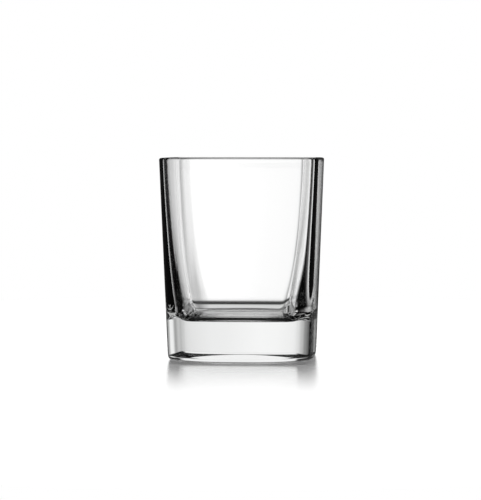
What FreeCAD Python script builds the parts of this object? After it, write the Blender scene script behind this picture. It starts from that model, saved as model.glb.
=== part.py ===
import FreeCAD, Part
import math
import os

# Square whiskey tumbler in clear pressed glass: four bowed sides that widen towards the rim, a
# thick solid base, rounded upright corners and a fire-polished lip.
# Millimetres, +Z up. The origin is on the table, in the middle of the underside.
# The glass is cut level, where its form changes, into three zones that meet face to face:
# the solid base, the plain side wall and the lip.

# Outside
HEIGHT = 92.0
BASE_WIDTH = 67.6           # across opposite sides, at the table
RIM_WIDTH = 74.8            # across opposite sides, at the lip
SIDE_BOW = 2.5              # how far the middle of a side stands out from a flat one
OUTER_CORNER_RADIUS = 8.0   # upright corners, seen from above
HEEL_RADIUS = 2.0           # edge between the sides and the underside

# Inside: a rounded square at the lip, like the outside, that turns rounder towards its floor
FLOOR_THICKNESS = 18.2      # solid glass between the table and the cavity floor
WALL_AT_RIM = 3.0
WALL_AT_FLOOR = 5.5
WALL_POWER = 2.0            # above 1, the wall keeps thin for longer and thickens low down
CORNER_AT_RIM = 5.6         # radius of the cavity's upright corners
CORNER_AT_FLOOR = 13.0
CORNER_POWER = 4.0
COVE_RADIUS = 5.5           # cavity floor into the cavity walls
CAVITY_SECTIONS = 9         # level outlines that the cavity's wall runs through

# Underside: a flat round ring to stand on, with a shallow dish inside it. Outside the ring, the
# glass curves slowly up towards the corners.
RING_INNER_RADIUS = 29.5
RING_OUTER_RADIUS = 31.0
DISH_DEPTH = 2.0
RISE_RADIUS = 55.0          # curvature of the slow rise

# Lip
LIP_HEIGHT = 5.0            # zone of the lip, down from the top
LIP_ROUND = 0.8             # fire-polished rounding of each edge of the lip

# Where the side wall begins: just above the cove
WALL_START = FLOOR_THICKNESS + COVE_RADIUS + 1.0
LIP_START = HEIGHT - LIP_HEIGHT
# How far each cutting tool reaches past the surface it cuts through
TOOL_OVERRUN = 4.0
# Every edge of the heel lies between the table and this height
HEEL_TOP = 3.0
# Points closer than this count as touching
TOUCH = 1e-4


def outer_width(z):
    """Width across opposite sides, outside, at height z."""
    return BASE_WIDTH + (RIM_WIDTH - BASE_WIDTH) * z / HEIGHT


def depth_share(z):
    """How far down the cavity the height z lies: 0 at the lip and above, 1 at the floor."""
    return max(HEIGHT - z, 0.0) / (HEIGHT - FLOOR_THICKNESS)


def inner_width(z):
    """Width across opposite sides of the cavity, at height z."""
    wall = WALL_AT_RIM + (WALL_AT_FLOOR - WALL_AT_RIM) * depth_share(z) ** WALL_POWER
    return outer_width(z) - 2.0 * wall


def inner_corner(z):
    """Radius of the cavity's upright corners, at height z."""
    return CORNER_AT_RIM + (CORNER_AT_FLOOR - CORNER_AT_RIM) * depth_share(z) ** CORNER_POWER


def bowed_square(width, corner_radius, z):
    """Closed outline of a square with bowed sides, each running smoothly into the corner arcs."""
    half = width / 2.0
    side_radius = (half * half + SIDE_BOW * SIDE_BOW) / (2.0 * SIDE_BOW)
    offset = side_radius - half         # the side arc's centre lies this far behind the middle
    reach = side_radius - corner_radius
    # The corner arc's centre is (c, c), where (c + offset)^2 + c^2 = reach^2
    c = (math.sqrt(2.0 * reach * reach - offset * offset) - offset) / 2.0
    ux = (c + offset) / reach
    uy = c / reach
    side_end = FreeCAD.Vector(side_radius * ux - offset, side_radius * uy, z)
    corner_middle = c + corner_radius * math.sqrt(0.5)
    side = Part.Arc(
        FreeCAD.Vector(side_end.x, -side_end.y, z),
        FreeCAD.Vector(half, 0.0, z),
        side_end,
    )
    corner = Part.Arc(
        side_end,
        FreeCAD.Vector(corner_middle, corner_middle, z),
        FreeCAD.Vector(side_end.y, side_end.x, z),
    )
    edges = []
    for quarter in range(4):
        for arc in (side, corner):
            edge = arc.toShape()
            edge.rotate(FreeCAD.Vector(0, 0, 0), FreeCAD.Vector(0, 0, 1), 90.0 * quarter)
            edges.append(edge)
    return Part.Wire(edges)


def level_edges(shape, z):
    """The edges of a shape that lie in the level plane at height z."""
    return [
        edge for edge in shape.Edges
        if abs(edge.BoundBox.ZMin - z) < TOUCH and abs(edge.BoundBox.ZMax - z) < TOUCH
    ]


def dish_height(r):
    """Height of the underside at radius r, inside the ring: part of a sphere."""
    sphere = (RING_INNER_RADIUS ** 2 + DISH_DEPTH ** 2) / (2.0 * DISH_DEPTH)
    return math.sqrt(sphere ** 2 - r ** 2) - (sphere - DISH_DEPTH)


def rise_height(r):
    """Height of the underside at radius r, outside the ring."""
    return RISE_RADIUS - math.sqrt(RISE_RADIUS ** 2 - (r - RING_OUTER_RADIUS) ** 2)


def space_below():
    """The space between the table and the underside, turned about the upright axis."""
    def point(r, z):
        return FreeCAD.Vector(r, 0, z)

    reach = RIM_WIDTH / 2.0 + OUTER_CORNER_RADIUS
    dish_middle = RING_INNER_RADIUS / 2.0
    rise_middle = (RING_OUTER_RADIUS + reach) / 2.0
    centre = point(0, DISH_DEPTH)
    ring_inner = point(RING_INNER_RADIUS, 0)
    ring_outer = point(RING_OUTER_RADIUS, 0)
    rise_end = point(reach, rise_height(reach))
    low_outer = point(reach, -TOOL_OVERRUN)
    low_centre = point(0, -TOOL_OVERRUN)
    lines = [
        Part.Arc(centre, point(dish_middle, dish_height(dish_middle)), ring_inner),
        Part.LineSegment(ring_inner, ring_outer),
        Part.Arc(ring_outer, point(rise_middle, rise_height(rise_middle)), rise_end),
        Part.LineSegment(rise_end, low_outer),
        Part.LineSegment(low_outer, low_centre),
        Part.LineSegment(low_centre, centre),
    ]
    profile = Part.Face(Part.Wire([line.toShape() for line in lines]))
    return profile.revolve(FreeCAD.Vector(0, 0, 0), FreeCAD.Vector(0, 0, 1), 360.0)


def heel_edges(block):
    """The edges where the sides and corners meet the underside."""
    found = []
    for edge in block.Edges:
        middle = edge.CenterOfMass
        outside_ring = math.hypot(middle.x, middle.y) > RING_OUTER_RADIUS
        if outside_ring and TOUCH < edge.BoundBox.ZMin and edge.BoundBox.ZMax < HEEL_TOP:
            found.append(edge)
    return found


def glass_outside():
    """Everything inside the outer surface, with the heel and the outer edge of the lip rounded."""
    outlines = [bowed_square(outer_width(z), OUTER_CORNER_RADIUS, z) for z in (0.0, HEIGHT)]
    block = Part.makeLoft(outlines, True, True).cut(space_below())
    block = block.makeFillet(HEEL_RADIUS, heel_edges(block))
    return block.makeFillet(LIP_ROUND, level_edges(block, HEIGHT))


def cavity():
    """The space that holds the drink, with its cove, reaching past the lip."""
    step = (HEIGHT + TOOL_OVERRUN - FLOOR_THICKNESS) / (CAVITY_SECTIONS - 1)
    heights = [FLOOR_THICKNESS + step * k for k in range(CAVITY_SECTIONS)]
    outlines = [bowed_square(inner_width(z), inner_corner(z), z) for z in heights]
    space = Part.makeLoft(outlines, True)
    return space.makeFillet(COVE_RADIUS, level_edges(space, FLOOR_THICKNESS))


def slice_between(shape, z_low, z_high):
    """The part of a shape between two heights."""
    side = 2.0 * RIM_WIDTH
    box = Part.makeBox(side, side, z_high - z_low, FreeCAD.Vector(-side / 2.0, -side / 2.0, z_low))
    return shape.common(box).Solids[0]


def heavy_base(glass):
    """The solid base, up to the top of the cove."""
    return slice_between(glass, 0.0, WALL_START)


def side_wall(glass):
    """The four plain sides and their corners."""
    return slice_between(glass, WALL_START, LIP_START)


def rim(glass):
    """The lip. Its inner edge is rounded like its outer one."""
    ring = slice_between(glass, LIP_START, HEIGHT)
    top_face = max(ring.Faces, key=lambda face: face.CenterOfMass.z)
    mouth = min(top_face.Wires, key=lambda wire: wire.Length)
    return ring.makeFillet(LIP_ROUND, mouth.Edges).Solids[0]


def main():
    glass = glass_outside().cut(cavity())
    pieces = {
        "heavy_base": heavy_base(glass),
        "side_wall": side_wall(glass),
        "rim": rim(glass),
    }
    os.makedirs("parts", exist_ok=True)
    for name, shape in pieces.items():
        print(f"{name}: {round(shape.Volume)} mm3")
        shape.exportStep(f"parts/{name}.step")


main()
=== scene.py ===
import math

import bpy
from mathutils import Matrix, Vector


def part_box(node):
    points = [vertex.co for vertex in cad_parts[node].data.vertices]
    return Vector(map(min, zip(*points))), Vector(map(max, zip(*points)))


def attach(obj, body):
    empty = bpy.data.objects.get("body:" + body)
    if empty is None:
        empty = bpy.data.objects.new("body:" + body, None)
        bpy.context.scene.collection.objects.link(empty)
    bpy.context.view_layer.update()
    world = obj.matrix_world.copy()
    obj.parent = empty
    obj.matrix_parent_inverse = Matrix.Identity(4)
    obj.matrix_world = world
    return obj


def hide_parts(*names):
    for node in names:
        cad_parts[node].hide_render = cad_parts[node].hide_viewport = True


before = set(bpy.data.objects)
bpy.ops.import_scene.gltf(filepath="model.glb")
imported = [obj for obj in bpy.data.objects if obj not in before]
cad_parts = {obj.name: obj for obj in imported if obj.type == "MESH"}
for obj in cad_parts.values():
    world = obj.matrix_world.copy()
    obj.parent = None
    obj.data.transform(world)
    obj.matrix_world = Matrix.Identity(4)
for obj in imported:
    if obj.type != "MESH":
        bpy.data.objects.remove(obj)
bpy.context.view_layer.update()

# Square whiskey tumbler in clear glass, as one continuous skin, on a white table that mirrors it.
# The glass is laid out in millimetres, and make_mesh() turns it into the frame's metres.
MM = 0.001

# Outside
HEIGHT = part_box("rim")[1][2] / MM
BASE_WIDTH = 67.6           # across opposite sides, at the table
RIM_WIDTH = 74.8            # across opposite sides, at the lip
SIDE_BOW = 2.5              # how far the middle of a side stands out from a flat one
OUTER_CORNER = 8.0          # radius of the upright corners, seen from above
HEEL = 2.0                  # radius between the sides and the underside

# Inside: a rounded square at the lip that turns rounder towards its floor
FLOOR = 18.2                # solid glass between the table and the cavity floor
WALL_AT_FLOOR = 5.5
WALL_AT_RIM = 3.0
WALL_POWER = 2.0            # above 1, the wall keeps thin for longer and thickens low down
CORNER_AT_RIM = 5.6         # radius of the cavity's upright corners
CORNER_AT_FLOOR = 13.0
CORNER_POWER = 4.0
COVE = 5.5                  # radius between the cavity's floor and walls

# Underside: a flat ring to stand on, a dish inside it and a slow rise outside it
RING_INNER = 29.5
RING_OUTER = 31.0
DISH_DEPTH = 2.0
RISE_RADIUS = 55.0          # curvature of the rise
LIP_ROUND = 0.8             # radius of each edge of the lip

# Steps of the mesh
SIDE_STEPS = 36
CORNER_STEPS = 14
UNDER_STEPS = 60
HEEL_STEPS = 10
WALL_STEPS = 40
LIP_STEPS = 8
COVE_STEPS = 20
INNER_FLOOR_STEPS = 7
SMALLEST_RING = 0.001       # size of the ring round the middle of a level end


def outer_width(z):
    """Width across opposite sides, outside, at height z."""
    return BASE_WIDTH + (RIM_WIDTH - BASE_WIDTH) * z / HEIGHT


def depth_share(z):
    """How far down the cavity the height z lies: 0 at the lip, 1 at the floor."""
    return max(HEIGHT - z, 0.0) / (HEIGHT - FLOOR)


def inner_width(z):
    """Width across opposite sides of the cavity, at height z."""
    wall = WALL_AT_RIM + (WALL_AT_FLOOR - WALL_AT_RIM) * depth_share(z) ** WALL_POWER
    return outer_width(z) - 2.0 * wall


def inner_corner(z):
    """Radius of the cavity's upright corners, at height z."""
    return CORNER_AT_RIM + (CORNER_AT_FLOOR - CORNER_AT_RIM) * depth_share(z) ** CORNER_POWER


def outline(width, corner, inset=0.0):
    """Points round a square with bowed sides, moved in by inset along its normals."""
    half = width / 2.0
    side_radius = (half * half + SIDE_BOW * SIDE_BOW) / (2.0 * SIDE_BOW)
    offset = side_radius - half         # the side arc's centre lies this far behind the middle
    reach = side_radius - corner
    # The corner arc's centre is (centre, centre), where (centre + offset)^2 + centre^2 = reach^2
    centre = (math.sqrt(2.0 * reach * reach - offset * offset) - offset) / 2.0
    turn = math.atan2(centre, centre + offset)
    side_arc = side_radius - inset
    corner_arc = corner - inset
    quarter = []
    for k in range(SIDE_STEPS):
        a = turn * (2.0 * k / SIDE_STEPS - 1.0)
        quarter.append((side_arc * math.cos(a) - offset, side_arc * math.sin(a)))
    for k in range(CORNER_STEPS):
        a = turn + (math.pi / 2.0 - 2.0 * turn) * k / CORNER_STEPS
        quarter.append((centre + corner_arc * math.cos(a), centre + corner_arc * math.sin(a)))
    points = []
    for cosine, sine in ((1, 0), (0, 1), (-1, 0), (0, -1)):
        points += [(x * cosine - y * sine, x * sine + y * cosine) for x, y in quarter]
    return points


def underside(x, y):
    """Height of the underside: a shallow dish, a flat ring, and a slow rise to the corners."""
    r = math.hypot(x, y)
    if r < RING_INNER:
        sphere = (RING_INNER ** 2 + DISH_DEPTH ** 2) / (2.0 * DISH_DEPTH)
        return math.sqrt(sphere ** 2 - r ** 2) - (sphere - DISH_DEPTH)
    if r > RING_OUTER:
        return RISE_RADIUS - math.sqrt(RISE_RADIUS ** 2 - (r - RING_OUTER) ** 2)
    return 0.0


def glass_rings():
    """Rings of points over the whole skin of the glass, from the middle of the underside, up the
    outside, over the lip and down the cavity to the middle of its floor."""
    rings = []

    def level_ring(points, z):
        rings.append([(x, y, z) for x, y in points])

    foot = outline(outer_width(0), OUTER_CORNER, HEEL)
    low = [underside(x, y) for x, y in foot]
    for k in range(UNDER_STEPS + 1):
        share = max(k / UNDER_STEPS, SMALLEST_RING)
        rings.append([(x * share, y * share, underside(x * share, y * share)) for x, y in foot])
    for k in range(1, HEEL_STEPS + 1):
        a = math.pi / 2.0 * k / HEEL_STEPS
        ring = outline(outer_width(0), OUTER_CORNER, HEEL * (1.0 - math.sin(a)))
        rings.append([(x, y, z + HEEL * (1.0 - math.cos(a))) for (x, y), z in zip(ring, low)])

    # The side starts on the raised heel and is level again at the lip
    top = HEIGHT - LIP_ROUND
    for k in range(1, WALL_STEPS + 1):
        share = k / WALL_STEPS
        z = HEEL + (top - HEEL) * share
        ring = outline(outer_width(z), OUTER_CORNER)
        rings.append([(x, y, z + rise * (1.0 - share)) for (x, y), rise in zip(ring, low)])
    for k in range(1, LIP_STEPS + 1):
        a = math.pi / 2.0 * k / LIP_STEPS
        inset = LIP_ROUND * (1.0 - math.cos(a))
        level_ring(outline(outer_width(top), OUTER_CORNER, inset), top + LIP_ROUND * math.sin(a))
    for k in range(LIP_STEPS + 1):
        a = math.pi / 2.0 * (1.0 - k / LIP_STEPS)
        inset = LIP_ROUND * (math.cos(a) - 1.0)
        level_ring(outline(inner_width(top), inner_corner(top), inset), top + LIP_ROUND * math.sin(a))

    # Down the cavity's wall, round the cove and in to the middle of the floor
    cove_top = FLOOR + COVE
    for k in range(1, WALL_STEPS + 1):
        z = top + (cove_top - top) * k / WALL_STEPS
        level_ring(outline(inner_width(z), inner_corner(z)), z)
    cove_width = inner_width(cove_top)
    cove_corner = inner_corner(cove_top)
    for k in range(1, COVE_STEPS + 1):
        a = math.pi / 2.0 * k / COVE_STEPS
        inset = COVE * (1.0 - math.cos(a))
        level_ring(outline(cove_width, cove_corner, inset), cove_top - COVE * math.sin(a))
    floor_edge = outline(cove_width, cove_corner, COVE)
    for k in range(1, INNER_FLOOR_STEPS + 1):
        share = max(1.0 - k / INNER_FLOOR_STEPS, SMALLEST_RING)
        level_ring([(x * share, y * share) for x, y in floor_edge], FLOOR)
    return rings


def make_mesh(rings):
    """One closed smooth skin through the rings."""
    count = len(rings[0])
    vertices = [(x * MM, y * MM, z * MM) for ring in rings for x, y, z in ring]
    faces = []
    for r in range(len(rings) - 1):
        for k in range(count):
            a = r * count + k
            b = r * count + (k + 1) % count
            faces.append((a, b, b + count, a + count))
    last = (len(rings) - 1) * count
    faces.append(tuple(reversed(range(count))))
    faces.append(tuple(last + k for k in range(count)))
    mesh = bpy.data.meshes.new("tumbler")
    mesh.from_pydata(vertices, [], faces)
    for polygon in mesh.polygons:
        polygon.use_smooth = True
    return mesh


class Nodes:
    """Short forms for building a node tree."""

    def __init__(self, tree):
        self.tree = tree
        tree.nodes.clear()

    def add(self, kind, links=None, **values):
        """A node with its properties set. links gives its inputs: a socket to link, or a number."""
        node = self.tree.nodes.new("ShaderNode" + kind)
        for name, value in values.items():
            setattr(node, name, value)
        for name, value in (links or {}).items():
            if isinstance(value, bpy.types.NodeSocket):
                self.tree.links.new(value, node.inputs[name])
            else:
                node.inputs[name].default_value = value
        return node

    def math(self, operation, a, b=0.0):
        """The result of one operation on a and b."""
        return self.add("Math", {0: a, 1: b}, operation=operation).outputs[0]

    def ramp(self, value, low, high):
        """A smooth step from 0, at low, to 1, at high."""
        links = {"Value": value, "From Min": low, "From Max": high}
        return self.add("MapRange", links, interpolation_type="SMOOTHSTEP").outputs["Result"]

    def profile(self, value, points):
        """A level that runs smoothly through the points (value, level), given in rising order."""
        first, span = points[0][0], points[-1][0] - points[0][0]
        top = max(level for _, level in points)
        ramp = self.add("ValToRGB", {0: self.math("DIVIDE", self.math("SUBTRACT", value, first), span)})
        elements = ramp.color_ramp.elements
        while len(elements) < len(points):
            elements.new(1.0)
        for element, (at, level) in zip(elements, points):
            element.position = (at - first) / span
            element.color = (level / top, level / top, level / top, 1.0)
        ramp.color_ramp.interpolation = "EASE"
        return self.math("MULTIPLY", ramp.outputs[0], top)

    def mix(self, share, low, high):
        """low where share is 0, high where it is 1."""
        return self.add("Mix", {0: share, 2: low, 3: high}, data_type="FLOAT").outputs[0]


WHITE = (1.0, 1.0, 1.0, 1.0)
GLASS_IOR = 1.52                        # soda-lime glass
GLASS_BODY = (0.949, 0.951, 0.95, 1.0)
BODY_DENSITY = 50.0                     # times (1 - GLASS_BODY): the absorption per metre
RIPPLE_SCALE = 28.0                     # ripples to a metre, roughly
RIPPLE_DETAIL = 1.5
RIPPLE_ROUGHNESS = 0.4
RIPPLE_STRENGTH = 0.05
RIPPLE_DEPTH = 0.0004


def glass_material():
    """Clear polished glass."""
    material = bpy.data.materials.new("clear_glass")
    material.use_nodes = True
    new = Nodes(material.node_tree)
    place = new.add("TexCoord").outputs["Object"]
    # Slow ripples, as a mould leaves them under the fire polish
    ripple = new.add("TexNoise", {
        "Vector": place,
        "Scale": RIPPLE_SCALE,
        "Detail": RIPPLE_DETAIL,
        "Roughness": RIPPLE_ROUGHNESS,
    })
    bump = new.add("Bump", {
        "Height": ripple.outputs["Fac"],
        "Strength": RIPPLE_STRENGTH,
        "Distance": RIPPLE_DEPTH,
    })
    shader = new.add("BsdfPrincipled", {
        "Base Color": WHITE,
        "Roughness": 0.0,
        "IOR": GLASS_IOR,
        "Transmission Weight": 1.0,
        "Normal": bump.outputs["Normal"],
    })
    # A little light is lost along the way through thick glass
    body = new.add("VolumeAbsorption", {"Color": GLASS_BODY, "Density": BODY_DENSITY})
    new.add("OutputMaterial", {"Surface": shader.outputs[0], "Volume": body.outputs[0]})
    return material


tumbler = bpy.data.objects.new("tumbler", make_mesh(glass_rings()))
bpy.context.collection.objects.link(tumbler)
tumbler.data.materials.append(glass_material())
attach(tumbler, "root")
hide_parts("heavy_base", "side_wall", "rim")
# The table is lit as if the glass weren't there
tumbler.visible_diffuse = False

# The table, in metres. A profile gives points (distance from the middle, level there).
TABLE_Z = -0.0003
TABLE_RADIUS = 0.35
TABLE_ROUGHNESS = 0.25
TABLE_WHITE = ((0.0, 0.9), (TABLE_RADIUS, 0.9))
TABLE_POLISH = ((0.0, 1.0), (0.035, 1.0), (0.16, 0.0), (TABLE_RADIUS, 0.0))
# The table as seen through the glass, with painted shade: grey in the middle and an almost black
# painted contact shadow further out
UNDER_Z = -0.0002
UNDER_RADIUS = 0.045
UNDER_ROUGHNESS = 0.05
UNDER_PAINTED_SHADE = ((0.0, 0.4), (0.014, 0.4), (0.023, 0.01), (UNDER_RADIUS, 0.01))
UNDER_POLISH = ((0.0, 0.9), (UNDER_RADIUS, 0.9))
# Both mirror more at a low angle
SHEEN_POWER = 1.5
FACING_BLEND = 0.5
DISC_SIDES = 128

# The camera, in metres and degrees
CAMERA_DISTANCE = 0.9
CAMERA_HEIGHT = 0.098
CAMERA_AZIMUTH = 4.0        # to the right of square on
CAMERA_TILT = 3.106         # below level
CAMERA_LENS = 145.3
CAMERA_SHIFT_X = -0.0055

# The surroundings aren't one set of lights: each kind of ray finds its own level there
BACKDROP_LIGHT = 1.0        # seen straight by the camera
TABLE_LIGHT = 1.25          # falling on the table
SHEEN_LIGHT = 1.2           # mirrored in the table
SKIN_LIGHT = 0.05           # mirrored in the glass
# What shows through the glass, all round: points (azimuth, level), with the azimuth in degrees,
# 0 behind the glass and positive to the right
AROUND = (
    (-180, 1.0), (-90, 1.0), (-82, 0.0), (-43, 0.0), (-36, 0.15), (-27, 0.3), (-20, 0.6), (-12, 0.9),
    (-6, 1.15), (-2, 1.05), (4, 0.7), (11, 0.4), (18, 1.05), (25, 1.1), (33, 0.55), (50, 0.1),
    (77, 0.0), (83, 1.0), (180, 1.0),
)
# The same higher up, where the window behind the glass is narrower, and the elevations in
# degrees between which the one turns into the other
AROUND_HIGH = (
    (-180, 1.0), (-90, 1.0), (-82, 0.0), (-16, 0.0), (-10, 1.1), (2, 1.1), (7, 0.0), (77, 0.0),
    (83, 1.0), (180, 1.0),
)
HIGH_START = 5.0
HIGH_FULL = 8.0
# Share of that level: points (elevation in degrees, share)
UP_AND_DOWN = (
    (-90, 0.0), (-56, 0.0), (-50, 0.7), (-38, 0.7), (-32, 0.5), (-29, 0.0), (-22, 0.0), (-14, 0.9),
    (-8, 1.0), (20, 1.0), (34, 0.1), (90, 0.1),
)
# A pale floor in front of the glass and to its sides, by azimuth and by elevation
FLOOR_AROUND = ((-180, 1.0), (-110, 1.0), (-90, 0.0), (90, 0.0), (110, 1.0), (180, 1.0))
FLOOR_DOWN = ((-90, 0.9), (-18, 0.9), (-6, 0.0), (90, 0.0))
# A pale floor straight below, by elevation
UNDERFOOT = ((-90, 0.9), (-66, 0.9), (-54, 0.0), (90, 0.0))


def round_of_table(name, radius, z, white_and_painted_shade_profile, roughness, polish_profile):
    """A level disc whose colour and polish change with the distance from the middle. The colour is
    plain white on the table and painted shade on the small disc under the glass.
    """
    bpy.ops.mesh.primitive_circle_add(
        vertices=DISC_SIDES, radius=radius, fill_type="NGON", location=(0, 0, z)
    )
    table = bpy.context.object
    table.name = name
    material = bpy.data.materials.new(name)
    material.use_nodes = True
    new = Nodes(material.node_tree)
    place = new.add("TexCoord").outputs["Object"]
    distance = new.add("VectorMath", {0: place}, operation="LENGTH").outputs["Value"]
    # Diffuse colour: plain white on the table, painted shade on the disc under the glass
    white = new.add("BsdfDiffuse", {"Color": new.profile(distance, white_and_painted_shade_profile)})
    sheen = new.add("BsdfGlossy", {"Roughness": roughness, "Color": WHITE})
    facing = new.add("LayerWeight", {"Blend": FACING_BLEND}).outputs["Facing"]
    polish = new.profile(distance, polish_profile)
    share = new.math("MULTIPLY", new.math("POWER", facing, SHEEN_POWER), polish)
    mix = new.add("MixShader", {0: share, 1: white.outputs[0], 2: sheen.outputs[0]})
    new.add("OutputMaterial", {"Surface": mix.outputs[0]})
    table.data.materials.append(material)
    return table


def make_table():
    """The table that the camera sees, and a small disc of painted shade that only shows through the
    glass.
    """
    table = round_of_table(
        "studio_table", TABLE_RADIUS, TABLE_Z, TABLE_WHITE, TABLE_ROUGHNESS, TABLE_POLISH
    )
    table.visible_transmission = False
    table.visible_glossy = False
    # Painted shade under the glass: grey in the middle, almost black further out, seen only through the
    # glass
    under = round_of_table(
        "studio_table_under", UNDER_RADIUS, UNDER_Z, UNDER_PAINTED_SHADE, UNDER_ROUGHNESS, UNDER_POLISH
    )
    under.visible_camera = False
    under.visible_glossy = False
    under.visible_diffuse = False


def make_world():
    """A white backdrop. Through the glass there are bright windows with dark between them, which
    draw its edges. Each kind of ray finds its own light."""
    world = bpy.data.worlds.new("studio")
    bpy.context.scene.world = world
    world.use_nodes = True
    new = Nodes(world.node_tree)
    ray = new.add("LightPath").outputs
    direction = new.add("SeparateXYZ", {0: new.add("TexCoord").outputs["Generated"]}).outputs
    x, y, z = direction[0], direction[1], direction[2]
    azimuth = new.math("MULTIPLY", new.math("ARCTAN2", x, y), math.degrees(1.0))
    elevation = new.math("MULTIPLY", new.math("ARCSINE", z), math.degrees(1.0))
    high = new.ramp(elevation, HIGH_START, HIGH_FULL)
    around = new.mix(high, new.profile(azimuth, AROUND), new.profile(azimuth, AROUND_HIGH))
    windows = new.math("MULTIPLY", around, new.profile(elevation, UP_AND_DOWN))
    floor = new.math("MULTIPLY", new.profile(azimuth, FLOOR_AROUND), new.profile(elevation, FLOOR_DOWN))
    floor = new.math("MAXIMUM", floor, new.profile(elevation, UNDERFOOT))
    through = new.math("MAXIMUM", windows, floor)

    # The glass mirrors sharply, and the table softly
    sharp = ray["Is Singular Ray"]
    mirrored = ray["Is Reflection Ray"]
    table_sheen = new.math("MULTIPLY", mirrored, new.math("SUBTRACT", 1.0, sharp))
    glass_skin = new.math("MULTIPLY", mirrored, sharp)
    strength = new.mix(glass_skin, through, SKIN_LIGHT)
    strength = new.mix(table_sheen, strength, SHEEN_LIGHT)
    strength = new.mix(ray["Is Diffuse Ray"], strength, TABLE_LIGHT)
    strength = new.mix(ray["Is Camera Ray"], strength, BACKDROP_LIGHT)
    background = new.add("Background", {"Color": WHITE, "Strength": strength})
    new.add("OutputWorld", {"Surface": background.outputs[0]})


def make_camera():
    """The view from just above the lip, a little to one side."""
    camera_data = bpy.data.cameras.new("camera")
    camera = bpy.data.objects.new("camera", camera_data)
    bpy.context.collection.objects.link(camera)
    azimuth = math.radians(CAMERA_AZIMUTH)
    camera.location = (
        CAMERA_DISTANCE * math.sin(azimuth),
        -CAMERA_DISTANCE * math.cos(azimuth),
        CAMERA_HEIGHT,
    )
    camera.rotation_euler = (math.radians(90.0 - CAMERA_TILT), 0.0, azimuth)
    camera_data.sensor_fit = "HORIZONTAL"
    camera_data.lens = CAMERA_LENS
    camera_data.shift_x = CAMERA_SHIFT_X
    bpy.context.scene.camera = camera


make_table()
make_world()
make_camera()
bpy.context.scene.view_settings.view_transform = "Standard"
